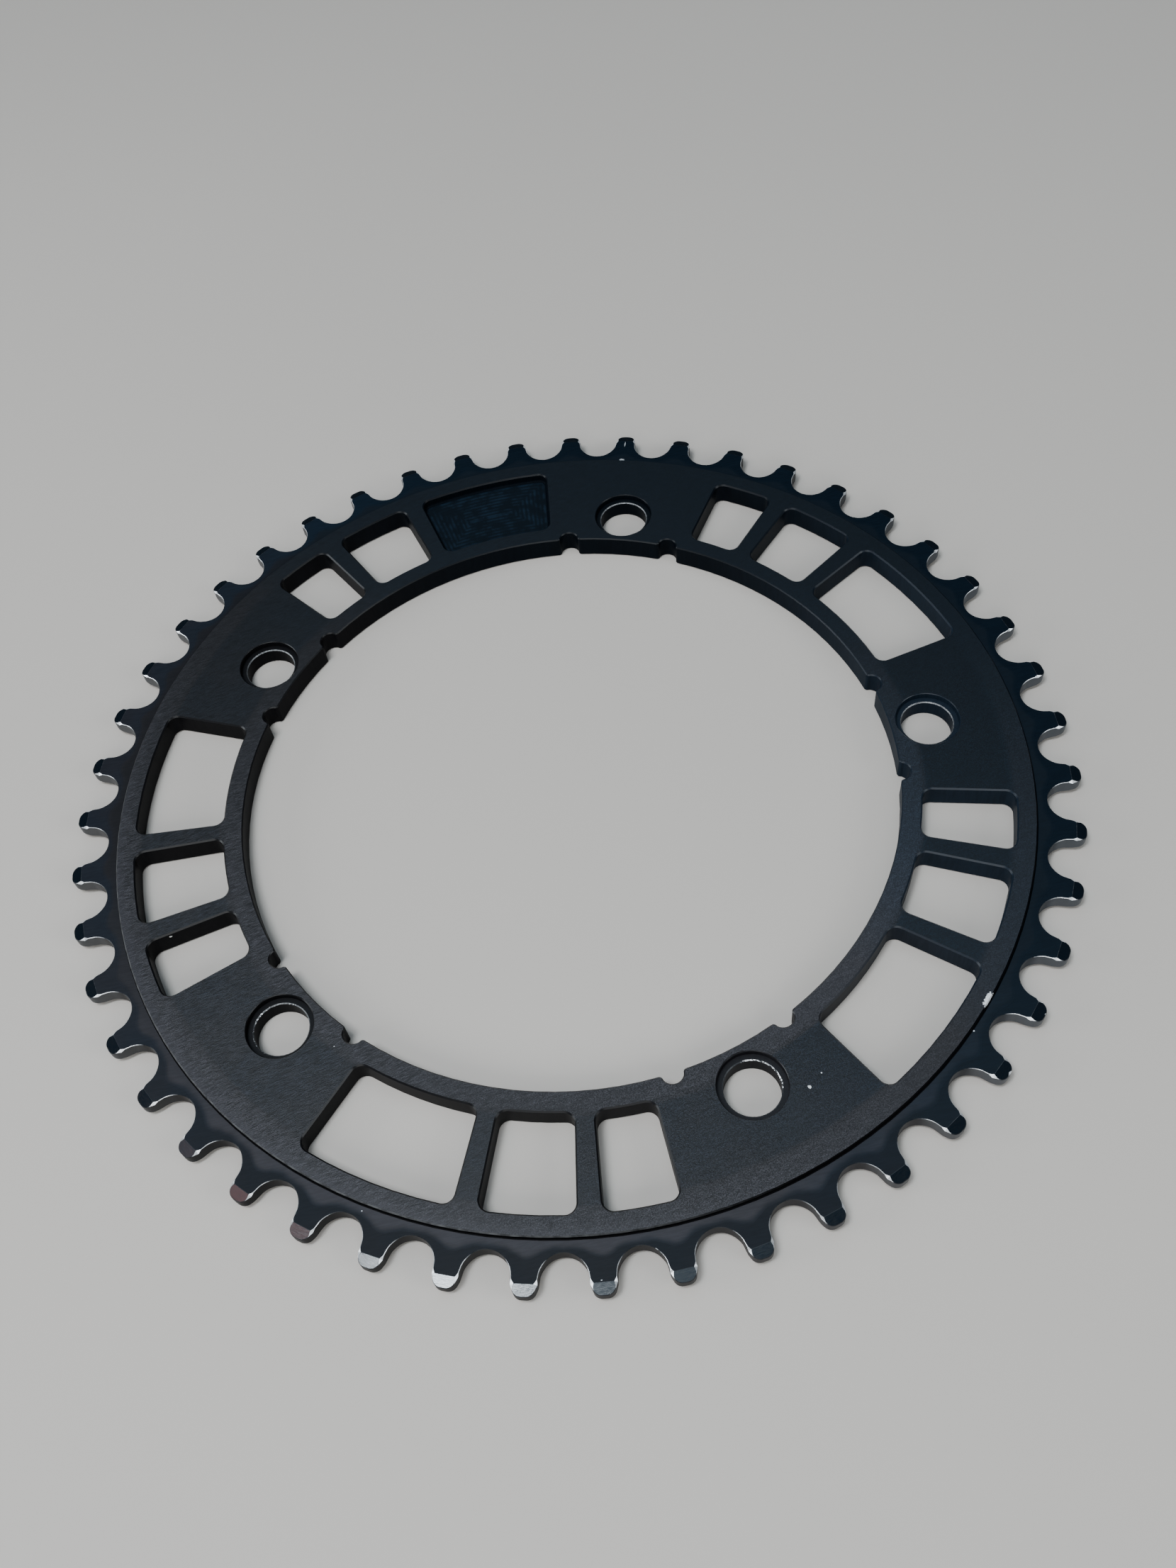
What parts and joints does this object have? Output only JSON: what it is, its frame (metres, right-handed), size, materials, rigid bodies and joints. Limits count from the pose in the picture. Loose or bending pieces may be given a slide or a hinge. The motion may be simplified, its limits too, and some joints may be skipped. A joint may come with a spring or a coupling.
{
  "type": "bicycle chainring",
  "caption": "Flat toothed chainring with bevelled teeth, a stepped rim, windows through its plate, counterbored bolt holes and a wide central bore that sits on a crank spider.",
  "frame": {"origin": "on the axis of rotation, at the back face that lies on the table", "axes": "+Z along the axis of rotation, out of the outer face with the counterbores; +Y towards the first bolt hole"},
  "size_m": [0.197, 0.197, 0.005],
  "materials": {
    "black_anodised": "satin black anodised, with bare metal along the worn tooth edges"
  },
  "bodies": {
    "root": {"chainring": "black_anodised"}
  },
  "joints": []
}
